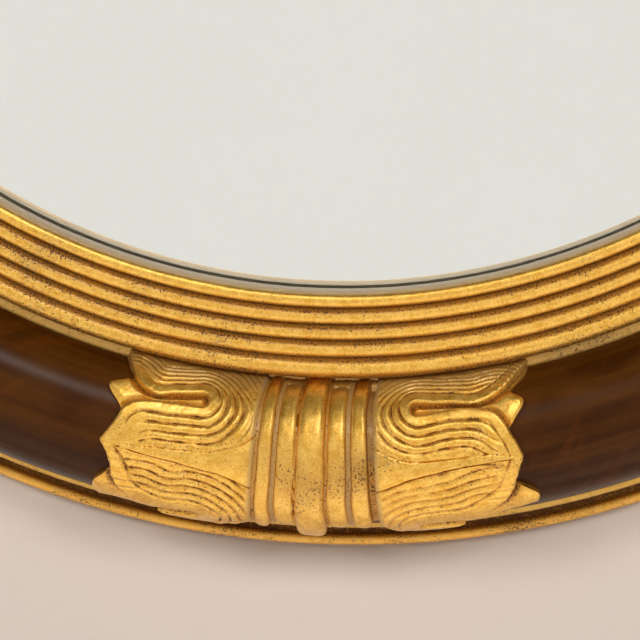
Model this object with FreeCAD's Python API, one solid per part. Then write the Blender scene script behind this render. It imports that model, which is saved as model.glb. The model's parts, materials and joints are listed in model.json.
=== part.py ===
import FreeCAD, Part
import math
import os

os.makedirs("parts", exist_ok=True)

V = FreeCAD.Vector

# A round convex wall mirror in a turned and carved frame, in millimetres.
# The mirror's axis is Y and its front faces -Y; Z is up and the back lies on the wall at Y = 0.
# r is measured outward from the axis, and height is measured forward from the wall.
axis_origin = V(0, 0, 0)
mirror_axis = V(0, 1, 0)
full_turn = 360.0
quarter_turn = 90.0
same_point = 1e-6

# Clearances
glue_gap = 0.1                # between glued curved faces
seat_gap = 0.3                # between pieces that only rest near each other
running_gap = 0.08            # radial, round a turning shaft
board_gap = 0.5               # round the backboard in its rebate
bore_gap = 2.0                # round the glass in the carcase

# Convex glass
sight_radius = 323.4          # glass that shows inside the slip
glass_overlap = 6.0           # glass hidden under the slip
glass_rise = 27.0             # bulge from the edge to the middle
glass_thickness = 4.0
glass_edge_height = 39.5      # front edge of the glass above the wall
silver_thickness = 0.4
silver_gap = 0.05

# Gilt reeded slip round the glass
reed_widths = (7.1, 7.7, 7.35, 7.95, 9.4)
reed_rise = 3.1
sight_bevel = 1.6             # run of the slope from the reeds down to the glass
slip_height = 50.0            # valleys between the reeds
slip_seat_height = 32.0

# Mahogany half-round roll between two gilt fillets
inner_fillet_width = 5.5
inner_fillet_height = 42.0
roll_radius = 33.5
roll_centre_height = 30.5
roll_seat_height = 20.0
roll_seat_step = 0.5          # between the roll's inner side and the step in the carcase
roll_overhang = 0.8           # roll's base past the carcase
outer_fillet_width = 5.5
outer_fillet_height = 22.0
tongue_length = 36.0          # loose tongue across each joint of the roll
tongue_width = 22.0
tongue_thickness = 8.0
tongue_height = 32.0

# Outer rim: a cove and a bead on a plinth that stands on the wall
rim_height = 15.0
rim_bead_radius = 3.8
rim_bead_height = 8.0
cove_width = 2.9
cove_depth = 1.2
rim_shoulder = 0.8

# Pine carcase of butted segments, and its backboard
back_recess = 9.0             # carcase and board stay this far off the wall
segment_count = 8
segment_joint_angle = 22.5
spline_length = 40.0
spline_width = 24.0
spline_thickness = 5.0
rebate_width = 20.0           # ledge that the backboard lies on
board_thickness = 5.0
board_bevel = 1.5
block_count = 12
block_angle = 6.0
block_width = 13.0

# Carved clasp: a turned collar between two lotus leaves, wrapped over the roll
clasp_tilt = 8.0              # middle of the clasp, outward from the roll's crown
clasp_fillet_gap = 2.88       # from the clasp's inner edge to the inner fillet, round the roll
bead_widths = (8.6, 8.2, 13.4, 8.2, 8.6)
bead_rises = (1.7, 1.2, 3.0, 1.2, 1.7)
bead_groove = 1.6
collar_floor = 4.0            # thickness at the grooves of the collar
leaf_gap = 1.5                # between the collar and a leaf
leaf_thickness = 5.0
petal_thickness = 2.4
vein_rise = 0.8
leaf_tip = 98.0               # from the clasp's middle, along the roll
side_lobe_tip = 101.5
side_lobe_side = 47.0         # from the leaf's middle, round the roll
eye_middle = 52.3             # rounded end of the slit between two lobes
eye_length = 3.9
eye_width = 7.6
slit_side = 30.4
petal_tip = 102.5
petal_tip_side = 27.0
petal_inner_side = 13.5
vein_half_width = 10.0
vein_end = 5.0                # short of the leaf's tip
# Lobe outlines: distance back from the leaf's tip, and share of the slit's distance from the middle
middle_lobe_margin = ((0, 0), (2.2, 0.25), (3.4, 0.48), (8, 0.69), (15.5, 0.865), (25, 0.94))
side_lobe_margin = ((24, 1.02), (15, 0.967), (8.5, 0.993), (3.5, 1.085), (0.5, 1.25))
petal_outline = ((8, 1.13), (2, 1.125))
vein_outline = ((0, 1), (10, 0.56), (32, 0.3))
dowel_radius = 3.0
dowel_depth = 9.0
dowel_reach = 3.0
collar_dowel_offset = 13.0
leaf_dowel_offset = 42.0

# Turn buttons that hold the backboard, and wood screws
button_count = 8
button_pivot_offset = 12.0    # pivot outside the rebate
button_reach = 18.0
button_root_radius = 7.0
button_nose_radius = 5.0
button_thickness = 1.6
screw_radius = 1.75
screw_head_radius = 3.7
screw_head_height = 2.0
button_screw_depth = 14.0
hanger_screw_depth = 8.5

# Hangers: a strap with a knuckle that carries a D-ring
hanger_angle = 32.5           # from the top of the mirror
hanger_offset = 7.5           # knuckle outside the middle of the carcase
strap_width = 15.0
strap_length = 46.0
strap_thickness = 1.5
strap_screw_offsets = (14.0, 36.0)
knuckle_lift = 0.3            # keeps the hanging ring clear of the strap
ring_wire_radius = 2.0
ring_bar_length = 16.0
ring_corner_radius = 4.0
ring_leg_length = 10.0

# Worked-out sizes
glass_radius = sight_radius + glass_overlap
glass_sphere = (glass_radius ** 2 + glass_rise ** 2) / (2 * glass_rise)
glass_centre_height = glass_edge_height + glass_rise - glass_sphere
bore_radius = glass_radius + bore_gap
rebate_radius = bore_radius + rebate_width
slip_radius = sight_radius + sight_bevel + sum(reed_widths)
board_top = back_recess + board_thickness
roll_inner_rise = inner_fillet_height - roll_centre_height
roll_inner_run = math.sqrt(roll_radius ** 2 - roll_inner_rise ** 2)
roll_centre_radius = slip_radius + inner_fillet_width + roll_inner_run
roll_seat_run = math.sqrt(roll_radius ** 2 - (roll_centre_height - roll_seat_height) ** 2)
carcase_radius = roll_centre_radius + roll_seat_run - roll_overhang
carcase_step = roll_centre_radius - roll_radius - roll_seat_step
rim_inner_radius = carcase_radius + glue_gap
roll_outer_run = math.sqrt(roll_radius ** 2 - (roll_centre_height - outer_fillet_height) ** 2)
outer_fillet_radius = roll_centre_radius + roll_outer_run + outer_fillet_width
rim_bead_centre = outer_fillet_radius + cove_width + rim_bead_radius
fillet_lean = math.degrees(math.acos(roll_inner_rise / roll_radius))
clasp_edge = fillet_lean - math.degrees(clasp_fillet_gap / roll_radius)
clasp_wrap = clasp_edge + clasp_tilt        # reach round the roll on each side of the clasp's middle
leaf_radius = roll_radius + leaf_thickness
collar_width = sum(bead_widths) + bead_groove * (len(bead_widths) - 1)
button_pivot = rebate_radius + button_pivot_offset
button_top = back_recess - seat_gap - button_thickness
knuckle_radius = ring_wire_radius + running_gap + strap_thickness
knuckle_height = back_recess - knuckle_radius - knuckle_lift
strap_face = back_recess - strap_thickness
hanger_radius = (rebate_radius + carcase_radius) / 2 + hanger_offset
hanger_x = hanger_radius * math.sin(math.radians(hanger_angle))
hanger_z = hanger_radius * math.cos(math.radians(hanger_angle))


def at(r, height):
    """A point of a turned profile, in the plane of X and Y."""
    return V(r, -height, 0)


def closed_face(start, steps):
    """A face bounded by lines (one point per step) and arcs (two points per step)."""
    edges = []
    here = start
    for step in steps:
        if isinstance(step, tuple):
            edges.append(Part.Arc(here, step[0], step[1]).toShape())
            here = step[1]
        else:
            edges.append(Part.makeLine(here, step))
            here = step
    if not here.isEqual(start, same_point):
        edges.append(Part.makeLine(here, start))
    return Part.Face(Part.Wire(edges))


def turned(start, steps, angle=full_turn):
    """A solid turned about the mirror's axis, from the profile's plane onward."""
    return closed_face(start, steps).revolve(axis_origin, mirror_axis, angle)


def around(shape, angle):
    """A copy turned about the mirror's axis."""
    return shape.rotated(axis_origin, mirror_axis, angle)


def save(shape, name):
    shape.exportStep("parts/" + name + ".step")


def glass_height(r, depth=0.0):
    """Height of the glass's sphere at a radius, or of a surface below it."""
    return glass_centre_height + math.sqrt((glass_sphere - depth) ** 2 - r ** 2)


def glass_shell(top, bottom):
    """A domed shell between two depths below the front of the glass."""
    half = glass_radius / 2
    start = at(0, glass_height(0, bottom))
    front = (at(half, glass_height(half, top)), at(glass_radius, glass_height(glass_radius, top)))
    edge = at(glass_radius, glass_height(glass_radius, bottom))
    rear = (at(half, glass_height(half, bottom)), start)
    return turned(start, [at(0, glass_height(0, top)), front, edge, rear])


def roll_solid(extra=0.0):
    """The full torus that the roll is part of, grown by a clearance."""
    centre = V(0, -roll_centre_height, 0)
    return Part.makeTorus(roll_centre_radius, roll_radius + extra, centre, mirror_axis)


def reeded_slip():
    lip = glass_height(sight_radius) + seat_gap
    here = sight_radius + sight_bevel
    steps = [at(here, slip_height)]
    for width in reed_widths:
        crest = at(here + width / 2, slip_height + reed_rise)
        here += width
        steps.append((crest, at(here, slip_height)))
    steps.append(at(slip_radius, slip_seat_height))
    steps.append(at(bore_radius - glue_gap, slip_seat_height))
    steps.append(at(bore_radius - glue_gap, lip))
    return turned(at(sight_radius, lip), steps)


def fillet_ring(inner, outer, bottom, top):
    """A flat-topped ring whose side is hollowed to fit the roll."""
    blank = turned(at(inner, bottom), [at(inner, top), at(outer, top), at(outer, bottom)])
    return blank.cut(roll_solid(glue_gap))


def outer_rim():
    diagonal = rim_bead_radius * math.sqrt(0.5)
    bead_end = at(rim_bead_centre - diagonal, rim_bead_height + diagonal)
    bead_side = at(rim_bead_centre + rim_bead_radius, rim_bead_height)
    shoulder = outer_fillet_radius - rim_shoulder
    cove_end = at(shoulder, rim_height)
    cove_middle = (bead_end + cove_end) * 0.5 + at(-cove_depth, -cove_depth)
    steps = [
        at(rim_bead_centre, 0),
        at(rim_bead_centre, rim_bead_height - rim_bead_radius),
        (bead_side, bead_end),
        (cove_middle, cove_end),
        at(rim_inner_radius, rim_height),
    ]
    return turned(at(rim_inner_radius, 0), steps)


def roll_profile():
    """Cross-section of the roll: a circle cut flat where it sits on the carcase."""
    seat_inner = at(roll_centre_radius - roll_seat_run, roll_seat_height)
    seat_outer = at(roll_centre_radius + roll_seat_run, roll_seat_height)
    crown = at(roll_centre_radius, roll_centre_height + roll_radius)
    return seat_inner, [(crown, seat_outer)]


def clasp_point(along, side, rho):
    """A point over the bottom of the roll: along it, round it, and out from its centre."""
    turn = along / roll_centre_radius
    lean = side / leaf_radius - math.radians(clasp_tilt)
    r = roll_centre_radius - rho * math.sin(lean)
    height = roll_centre_height + rho * math.cos(lean)
    return V(r * math.sin(turn), -height, -r * math.cos(turn))


roll_middle = V(0, -roll_centre_height, -roll_centre_radius)
tilt_sine = math.sin(math.radians(clasp_tilt))
tilt_cosine = math.cos(math.radians(clasp_tilt))
clasp_out = V(0, -tilt_cosine, -tilt_sine)
clasp_in = V(0, -tilt_sine, tilt_cosine)


def plan(along, side):
    """A point of the leaf's outline, laid flat on a plane through the roll's centre line."""
    point = clasp_point(along, side, leaf_radius)
    return point - clasp_out * (point - roll_middle).dot(clasp_out)


def spline(points):
    curve = Part.BSplineCurve()
    curve.interpolate(points)
    return curve.toShape()


def raised(edges):
    """A straight prism on a flat outline, standing out through the leaf."""
    return Part.Face(Part.Wire(edges)).extrude(clasp_out * (leaf_radius * 2))


def roll_cover(thickness, length):
    """A shell over the roll from the clasp's middle toward +X, as wide as the clasp's wrap."""
    inner = roll_radius + glue_gap
    outer = roll_radius + thickness
    edge = math.radians(clasp_wrap) * leaf_radius
    corners = [clasp_point(0, side, rho) for side, rho in
               ((-edge, inner), (-edge, outer), (0, outer), (edge, outer), (edge, inner), (0, inner))]
    section = closed_face(corners[0], [corners[1], (corners[2], corners[3]), corners[4],
                                       (corners[5], corners[0])])
    return section.revolve(axis_origin, -mirror_axis, math.degrees(length / roll_centre_radius))


def lobe_margin(hand):
    """One side of the main lobes: from the leaf's tip, round the slit's eye, to the side lobe's tip."""
    near = slit_side - eye_width / 2
    far = slit_side + eye_width / 2
    lower = [(leaf_tip - back, share * slit_side) for back, share in middle_lobe_margin]
    upper = [(leaf_tip - back, share * slit_side) for back, share in side_lobe_margin]
    lower = lower + [(eye_middle + eye_width, near + eye_width / 8), (eye_middle, near)]
    upper = [(eye_middle, far), (eye_middle + eye_width, far - eye_width / 10)] + upper
    upper = upper + [(side_lobe_tip, side_lobe_side)]
    eye = Part.Arc(plan(eye_middle, hand * near), plan(eye_middle - eye_length, hand * slit_side),
                   plan(eye_middle, hand * far)).toShape()
    return [
        spline([plan(along, hand * side) for along, side in lower]),
        eye,
        spline([plan(along, hand * side) for along, side in upper]),
    ]


def main_lobes(first):
    """The raised part of a leaf: a middle lobe and two side lobes, with slits between them."""
    top_tip = plan(side_lobe_tip, side_lobe_side)
    low_tip = plan(side_lobe_tip, -side_lobe_side)
    past = clasp_in * leaf_thickness * 2
    root = V(first, roll_middle.y, roll_middle.z)
    root_top = root + clasp_in * leaf_radius + past
    root_low = root - clasp_in * leaf_radius - past
    ends = [top_tip, top_tip + past, root_top, root_low, low_tip - past, low_tip]
    back = [Part.makeLine(a, b) for a, b in zip(ends, ends[1:])]
    return raised(lobe_margin(1) + back + lobe_margin(-1)[::-1])


def side_petal(hand):
    """The lower petal that shows between two lobes, with the floor of the slit."""
    floor = eye_width / 4
    start = eye_middle - floor
    beside = eye_middle + eye_width
    corners = [(start, slit_side - floor), (start, slit_side + floor), (beside, slit_side + floor * 2)]
    corners += [(leaf_tip - back, share * slit_side) for back, share in petal_outline]
    corners += [(petal_tip, petal_tip_side), (leaf_tip - floor * 2, petal_inner_side)]
    corners += [(leaf_tip - back - floor, share * slit_side) for back, share in middle_lobe_margin[3:5]]
    corners += [(beside, slit_side - floor * 2)]
    points = [plan(along, hand * side) for along, side in corners]
    return raised([Part.makePolygon(points + points[:1])])


def leaf_vein(first):
    """The plain wedge along the leaf's middle, from the collar to its tip."""
    side = [(first + ahead, share * vein_half_width) for ahead, share in vein_outline]
    side.append((leaf_tip - vein_end, 0))
    upper = spline([plan(along, across) for along, across in side])
    lower = spline([plan(along, -across) for along, across in side])
    root = Part.makeLine(plan(*side[0]), plan(side[0][0], -side[0][1]))
    return raised([upper, lower, root])


def clasp_leaf():
    """The leaf on the +X side of the bottom clasp."""
    first = collar_width / 2 + leaf_gap
    last = petal_tip + leaf_thickness
    leaf = main_lobes(first).common(roll_cover(leaf_thickness, last))
    petals = roll_cover(petal_thickness, last)
    for hand in (1, -1):
        leaf = leaf.fuse(petals.common(side_petal(hand)))
    vein = roll_cover(leaf_thickness + vein_rise, last).common(leaf_vein(first))
    return leaf.fuse(vein).removeSplitter()


def clasp_collar():
    """A row of beads turned about the roll's own axis, hollowed to sit on the roll."""
    floor = roll_radius + collar_floor
    low = roll_middle + clasp_out * (roll_radius - collar_floor)
    valley = roll_middle + clasp_out * floor
    here = -collar_width / 2
    start = low + V(here, 0, 0)
    steps = [valley + V(here, 0, 0)]
    for width, rise in zip(bead_widths, bead_rises):
        crest = valley + clasp_out * rise + V(here + width / 2, 0, 0)
        steps.append((crest, valley + V(here + width, 0, 0)))
        here += width + bead_groove
        if here < collar_width / 2:
            steps.append(valley + V(here, 0, 0))
    steps.append(low + V(collar_width / 2, 0, 0))
    section = closed_face(start, steps).rotated(roll_middle, V(1, 0, 0), -clasp_wrap)
    collar = section.revolve(roll_middle, V(1, 0, 0), clasp_wrap * 2)
    return collar.cut(roll_solid(glue_gap))


def clasp_dowel(along, extra=0.0):
    """A peg that holds a clasp piece to the roll, grown by a clearance for its hole."""
    base = clasp_point(along, 0, roll_radius - dowel_depth - extra)
    top = clasp_point(along, 0, roll_radius + dowel_reach + extra)
    return Part.makeCylinder(dowel_radius + extra, (top - base).Length, base, top - base)


dowel_places = (-leaf_dowel_offset, -collar_dowel_offset, collar_dowel_offset, leaf_dowel_offset)


def roll_tongue(extra=0.0):
    """The loose tongue across the roll's joint under the bottom clasp."""
    size = V(tongue_length, tongue_thickness, tongue_width) + V(2, 2, 2) * extra
    centre = V(0, -tongue_height, -roll_centre_radius)
    return Part.makeBox(size.x, size.y, size.z, centre - size * 0.5)


def carcase_spline(extra=0.0):
    """The spline across a carcase joint, in the profile's plane."""
    middle_r = (bore_radius + carcase_radius) / 2
    middle_height = (back_recess + roll_seat_height) / 2
    size = V(spline_width, spline_thickness, spline_length) + V(2, 2, 2) * extra
    centre = at(middle_r, middle_height)
    return Part.makeBox(size.x, size.y, size.z, centre - size * 0.5)


def pilot_hole(length):
    """The hole for a screw whose head seats at the origin."""
    return Part.makeCylinder(screw_radius + glue_gap, length + glue_gap, axis_origin, -mirror_axis)


def screw(length):
    """A round-head wood screw with its head's underside at the origin, driven toward -Y."""
    tip = V(0, -length, 0)
    shank_end = V(screw_radius, screw_radius * 2 - length, 0)
    shank_top = V(screw_radius, 0, 0)
    rim = V(screw_head_radius, 0, 0)
    dome = (screw_head_radius ** 2 + screw_head_height ** 2) / (2 * screw_head_height)
    half = screw_head_radius / 2
    shoulder = V(half, screw_head_height - dome + math.sqrt(dome ** 2 - half ** 2), 0)
    crown = V(0, screw_head_height, 0)
    steps = [shank_end, shank_top, rim, (shoulder, crown)]
    return closed_face(tip, steps).revolve(axis_origin, mirror_axis, full_turn)


def turn_button():
    """A tapered button that reaches from its pivot in over the edge of the backboard."""
    lean = math.acos((button_root_radius - button_nose_radius) / button_reach)
    upper = V(-math.cos(lean), 0, math.sin(lean))
    lower = V(-math.cos(lean), 0, -math.sin(lean))
    nose = V(-button_reach, 0, 0)
    outline = closed_face(upper * button_root_radius, [
        nose + upper * button_nose_radius,
        (nose - V(button_nose_radius, 0, 0), nose + lower * button_nose_radius),
        lower * button_root_radius,
        (V(button_root_radius, 0, 0), upper * button_root_radius),
    ])
    plate = outline.extrude(mirror_axis * button_thickness)
    hole = Part.makeCylinder(screw_radius + running_gap, button_thickness, axis_origin, mirror_axis)
    return plate.cut(hole).translated(at(button_pivot, back_recess - seat_gap))


def button_screw_place():
    """Where the head of a turn button's screw seats, before it is turned into place."""
    return at(button_pivot, button_top - running_gap)


button_screw_length = button_screw_depth + back_recess - button_top + running_gap
hanger_screw_length = hanger_screw_depth + strap_thickness


def hanger_strap():
    """A strap with a knuckle at its top, which is at the origin; the carcase is on its -Y side."""
    half = strap_width / 2
    front = -knuckle_radius - knuckle_lift
    low = half - strap_length
    outline = closed_face(V(-half, front, 0), [
        V(-half, front, low),
        (V(0, front, -strap_length), V(half, front, low)),
        V(half, front, 0),
    ])
    plate = outline.extrude(mirror_axis * strap_thickness)
    across = V(1, 0, 0)
    end = V(-half, 0, 0)
    knuckle = Part.makeCylinder(knuckle_radius, strap_width, end, across)
    strap = plate.fuse(knuckle).removeSplitter()
    strap = strap.cut(Part.makeCylinder(ring_wire_radius + running_gap, strap_width, end, across))
    for offset in strap_screw_offsets:
        place = V(0, front, -offset)
        strap = strap.cut(Part.makeCylinder(screw_radius + glue_gap, strap_thickness, place, mirror_axis))
    return strap


def d_ring():
    """A bent wire ring hanging from its straight bar, which lies along X at the origin."""
    down = V(0, 0, -1)
    end = V(ring_bar_length / 2, 0, 0)
    side = end + V(ring_corner_radius, 0, -ring_corner_radius)
    low = side + down * ring_leg_length
    wire = ring_wire_radius
    bar = Part.makeCylinder(wire, ring_bar_length, -end, V(1, 0, 0))
    bar_end = Part.Face(Part.Wire(Part.makeCircle(wire, end, V(1, 0, 0))))
    corner = bar_end.revolve(end + down * ring_corner_radius, mirror_axis, quarter_turn)
    leg = Part.makeCylinder(wire, ring_leg_length, side, down)
    leg_end = Part.Face(Part.Wire(Part.makeCircle(wire, low, down)))
    bow = leg_end.revolve(V(0, 0, low.z), mirror_axis, quarter_turn * 2)
    flip = V(1, 0, 0)
    pieces = [corner, leg, corner.mirror(axis_origin, flip), leg.mirror(axis_origin, flip), bow]
    return bar.multiFuse(pieces).removeSplitter()


hanger_sides = {"left": -1, "right": 1}
clasp_places = ("bottom", "left", "top", "right")


def hanger_place(hand):
    return V(hand * hanger_x, -knuckle_height, hanger_z)


def hanger_screw_places():
    """Where the heads of the four hanger screws seat."""
    places = []
    for hand in hanger_sides.values():
        for offset in strap_screw_offsets:
            places.append(V(hand * hanger_x, -strap_face, hanger_z - offset))
    return places


def carcase_segments():
    """The pine ring, as butted segments slotted for splines and drilled for the screws."""
    sweep = full_turn / segment_count
    trim = math.degrees(glue_gap / 2 / bore_radius)
    steps = [
        at(rebate_radius, board_top),
        at(bore_radius, board_top),
        at(bore_radius, slip_seat_height),
        at(carcase_step, slip_seat_height),
        at(carcase_step, roll_seat_height),
        at(carcase_radius, roll_seat_height),
        at(carcase_radius, back_recess),
    ]
    blank = around(turned(at(rebate_radius, back_recess), steps, sweep - 2 * trim), trim)
    slot = carcase_spline(glue_gap)
    blank = blank.cut(slot).cut(around(slot, sweep))
    button_hole = pilot_hole(button_screw_length).translated(button_screw_place())
    strap_hole = pilot_hole(hanger_screw_length)
    strap_holes = [strap_hole.translated(place) for place in hanger_screw_places()]
    button_holes = [around(button_hole, k * full_turn / button_count) for k in range(button_count)]
    holes = Part.makeCompound(button_holes + strap_holes)
    return [around(blank, segment_joint_angle + k * sweep).cut(holes) for k in range(segment_count)]


def roll_segments():
    """The roll in four quarters that meet under the clasps."""
    trim = math.degrees(glue_gap / 2 / roll_centre_radius)
    start, steps = roll_profile()
    blank = turned(start, steps, quarter_turn - 2 * trim)
    pegs = [clasp_dowel(place, glue_gap) for place in dowel_places]
    cuts = Part.makeCompound(pegs + [roll_tongue(glue_gap)])
    blank = around(blank, quarter_turn + trim).cut(cuts).cut(around(cuts, quarter_turn))
    return [around(blank, k * quarter_turn) for k in range(len(clasp_places))]


def glazing_blocks():
    """Small blocks rubbed into the bore behind the edge of the glass."""
    outer = bore_radius - glue_gap
    inner = outer - block_width
    depth = glass_thickness + silver_gap + silver_thickness
    base = board_top + seat_gap
    outer_top = glass_height(outer, depth) - seat_gap
    inner_top = glass_height(inner, depth) - seat_gap
    steps = [at(inner, inner_top), at(outer, outer_top), at(outer, base)]
    block = turned(at(inner, base), steps, block_angle)
    return Part.makeCompound([around(block, k * full_turn / block_count) for k in range(block_count)])


def backboard():
    radius = rebate_radius - board_gap
    steps = [
        at(0, board_top),
        at(radius, board_top),
        at(radius, back_recess + board_bevel),
        at(radius - board_bevel, back_recess),
    ]
    return turned(at(0, back_recess), steps)


def repeated(shape, count):
    return Part.makeCompound([around(shape, k * full_turn / count) for k in range(count)])


for number, segment in enumerate(carcase_segments(), 1):
    save(segment, "carcase_segment_%d" % number)
joint_spline = around(carcase_spline(), segment_joint_angle)
save(repeated(joint_spline, segment_count), "carcase_splines")

for number, segment in enumerate(roll_segments(), 1):
    save(segment, "roll_segment_%d" % number)
save(repeated(roll_tongue(), len(clasp_places)), "roll_tongues")

save(reeded_slip(), "reeded_slip")
fillet_outer = roll_centre_radius - roll_inner_run + roll_seat_step
save(fillet_ring(slip_radius, fillet_outer, slip_seat_height, inner_fillet_height), "inner_fillet")
save(fillet_ring(rim_inner_radius, outer_fillet_radius, rim_height, outer_fillet_height), "outer_fillet")
save(outer_rim(), "outer_rim")

collar_sockets = [clasp_dowel(place, glue_gap) for place in (-collar_dowel_offset, collar_dowel_offset)]
collar = clasp_collar().cut(Part.makeCompound(collar_sockets))
leaf = clasp_leaf().cut(clasp_dowel(leaf_dowel_offset, glue_gap))
mirrored_leaf = leaf.mirror(axis_origin, V(1, 0, 0))
for number, place in enumerate(clasp_places):
    angle = number * quarter_turn
    save(around(collar, angle), "clasp_%s_collar" % place)
    save(around(leaf, angle), "clasp_%s_leaf_a" % place)
    save(around(mirrored_leaf, angle), "clasp_%s_leaf_b" % place)
dowels = Part.makeCompound([clasp_dowel(place) for place in dowel_places])
save(repeated(dowels, len(clasp_places)), "clasp_dowels")

save(glass_shell(0.0, glass_thickness), "convex_glass")
silver_top = glass_thickness + silver_gap
save(glass_shell(silver_top, silver_top + silver_thickness), "silvering")
save(glazing_blocks(), "glazing_blocks")
save(backboard(), "backboard")

button = turn_button()
for number in range(button_count):
    save(around(button, number * full_turn / button_count), "turn_button_%d" % (number + 1))
button_screw = screw(button_screw_length).translated(button_screw_place())
save(repeated(button_screw, button_count), "turn_button_screws")

for side, hand in hanger_sides.items():
    save(hanger_strap().translated(hanger_place(hand)), "hanger_strap_" + side)
    save(d_ring().translated(hanger_place(hand)), "d_ring_" + side)
strap_screw = screw(hanger_screw_length)
save(Part.makeCompound([strap_screw.translated(p) for p in hanger_screw_places()]), "hanger_screws")
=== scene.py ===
import json
import math

import bpy
import numpy as np
from mathutils import Matrix, Quaternion, Vector


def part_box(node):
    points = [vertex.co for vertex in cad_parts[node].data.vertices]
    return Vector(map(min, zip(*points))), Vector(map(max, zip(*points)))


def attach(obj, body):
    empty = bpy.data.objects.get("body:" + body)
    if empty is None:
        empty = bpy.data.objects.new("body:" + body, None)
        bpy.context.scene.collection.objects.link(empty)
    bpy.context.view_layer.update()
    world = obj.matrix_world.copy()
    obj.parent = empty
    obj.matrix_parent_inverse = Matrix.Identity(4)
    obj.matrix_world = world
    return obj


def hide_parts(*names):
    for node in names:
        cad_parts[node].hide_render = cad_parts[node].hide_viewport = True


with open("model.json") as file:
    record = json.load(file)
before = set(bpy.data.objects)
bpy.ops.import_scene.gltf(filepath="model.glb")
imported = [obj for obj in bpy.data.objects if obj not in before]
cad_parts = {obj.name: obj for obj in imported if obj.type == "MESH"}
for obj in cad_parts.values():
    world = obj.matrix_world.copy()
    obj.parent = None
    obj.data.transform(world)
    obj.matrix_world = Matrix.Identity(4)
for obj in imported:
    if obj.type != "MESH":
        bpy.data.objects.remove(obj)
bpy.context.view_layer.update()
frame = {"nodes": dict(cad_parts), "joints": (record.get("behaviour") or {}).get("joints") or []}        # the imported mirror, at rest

mm = 0.001
fullTurn = 2 * math.pi
mergeGap = 1e-6

# Turned profiles below are (r, height) in millimetres: out from the mirror's axis, and forward from the wall
rollShape = {"centre": 401.464, "height": 30.5, "radius": 33.5, "seat": 20.0}


def deselectAll():
    if bpy.context.object and bpy.context.object.mode != "OBJECT":
        bpy.ops.object.mode_set(mode="OBJECT")
    bpy.ops.object.select_all(action="DESELECT")


def pick(piece):
    deselectAll()
    piece.select_set(True)
    bpy.context.view_layer.objects.active = piece


def places(piece):
    flat = np.empty(len(piece.data.vertices) * 3, np.float32)
    piece.data.vertices.foreach_get("co", flat)
    return flat.reshape(-1, 3).astype(float)


def movePoints(piece, points):
    piece.data.vertices.foreach_set("co", points.astype(np.float32).ravel())
    piece.data.update()


def giveAttribute(piece, name, values):
    kind = "FLOAT_VECTOR" if values.ndim == 2 else "FLOAT"
    layer = piece.data.attributes.new(name, kind, "POINT")
    layer.data.foreach_set("vector" if values.ndim == 2 else "value", values.astype(np.float32).ravel())


def smooth(piece, angle=40):
    pick(piece)
    bpy.ops.object.shade_smooth_by_angle(angle=math.radians(angle))


def clothe(piece, finish):
    piece.data.materials.clear()
    piece.data.materials.append(finish)


def settle(piece, body, slot, *nodes):      # rides its body and stands for its nodes
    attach(piece, body)
    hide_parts(*nodes)


def addPiece(name, mesh):
    piece = bpy.data.objects.new(name, mesh)
    bpy.context.scene.collection.objects.link(piece)
    return piece


def copyTurned(source, name, angle):        # a copy with its own mesh, turned about the mirror's axis
    piece = addPiece(name, source.data.copy())
    piece.data.transform(Matrix.Rotation(angle, 4, "Y"))
    return piece


def editAll():
    bpy.ops.object.mode_set(mode="EDIT")
    bpy.ops.mesh.select_all(action="SELECT")


def closeUp(piece):                         # joins seams and turns faces outward
    pick(piece)
    editAll()
    bpy.ops.mesh.remove_doubles(threshold=mergeGap)
    bpy.ops.mesh.delete_loose(use_verts=True, use_edges=True, use_faces=False)
    bpy.ops.mesh.select_all(action="SELECT")
    bpy.ops.mesh.normals_make_consistent(inside=False)
    bpy.ops.object.mode_set(mode="OBJECT")


def turnedPiece(name, outline, steps, sweep=fullTurn):      # a closed outline spun about the mirror's axis
    deselectAll()
    bpy.ops.mesh.primitive_circle_add(vertices=len(outline), radius=1)
    piece = bpy.context.object
    piece.name = name
    for vertex, (r, height) in zip(piece.data.vertices, outline):
        vertex.co = (0, -height * mm, -r * mm)
    editAll()
    bpy.ops.mesh.spin(steps=steps, angle=sweep, center=(0, 0, 0), axis=(0, 1, 0))
    if sweep < fullTurn:
        bpy.ops.mesh.select_all(action="SELECT")
        bpy.ops.mesh.fill_holes(sides=0)
    bpy.ops.object.mode_set(mode="OBJECT")
    closeUp(piece)
    return piece


def roundStretch(centre, radius, start, end, count):        # points of an arc in a profile, angles in degrees
    angles = np.radians(np.linspace(start, end, count))
    return [(centre[0] + radius * math.sin(a), centre[1] + radius * math.cos(a)) for a in angles]


def polar(points):                          # r, height in millimetres and the turn from the bottom
    r = np.hypot(points[:, 0], points[:, 2]) / mm
    return r, -points[:, 1] / mm, np.arctan2(points[:, 0], -points[:, 2])


def ease(value, low, high):
    t = np.clip((value - low) / (high - low), 0, 1)
    return t * t * (3 - 2 * t)


# Shader maths: sums on a Wire add their own Math nodes
def join(tree, socket, value):
    if isinstance(value, Wire):
        tree.links.new(value.socket, socket)
    elif isinstance(value, tuple) and socket.type == "RGBA" and len(value) == 3:
        socket.default_value = (*value, 1.0)
    else:
        socket.default_value = value


class Wire:
    def __init__(self, tree, socket):
        self.tree = tree
        self.socket = socket

    def sum(self, operation, first, second):
        made = self.tree.nodes.new("ShaderNodeMath")
        made.operation = operation
        join(self.tree, made.inputs[0], first)
        join(self.tree, made.inputs[1], second)
        return Wire(self.tree, made.outputs[0])

    def __add__(self, other):
        return self.sum("ADD", self, other)

    def __radd__(self, other):
        return self.sum("ADD", other, self)

    def __sub__(self, other):
        return self.sum("SUBTRACT", self, other)

    def __rsub__(self, other):
        return self.sum("SUBTRACT", other, self)

    def __mul__(self, other):
        return self.sum("MULTIPLY", self, other)

    def most(self, other):
        return self.sum("MAXIMUM", self, other)


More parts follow.
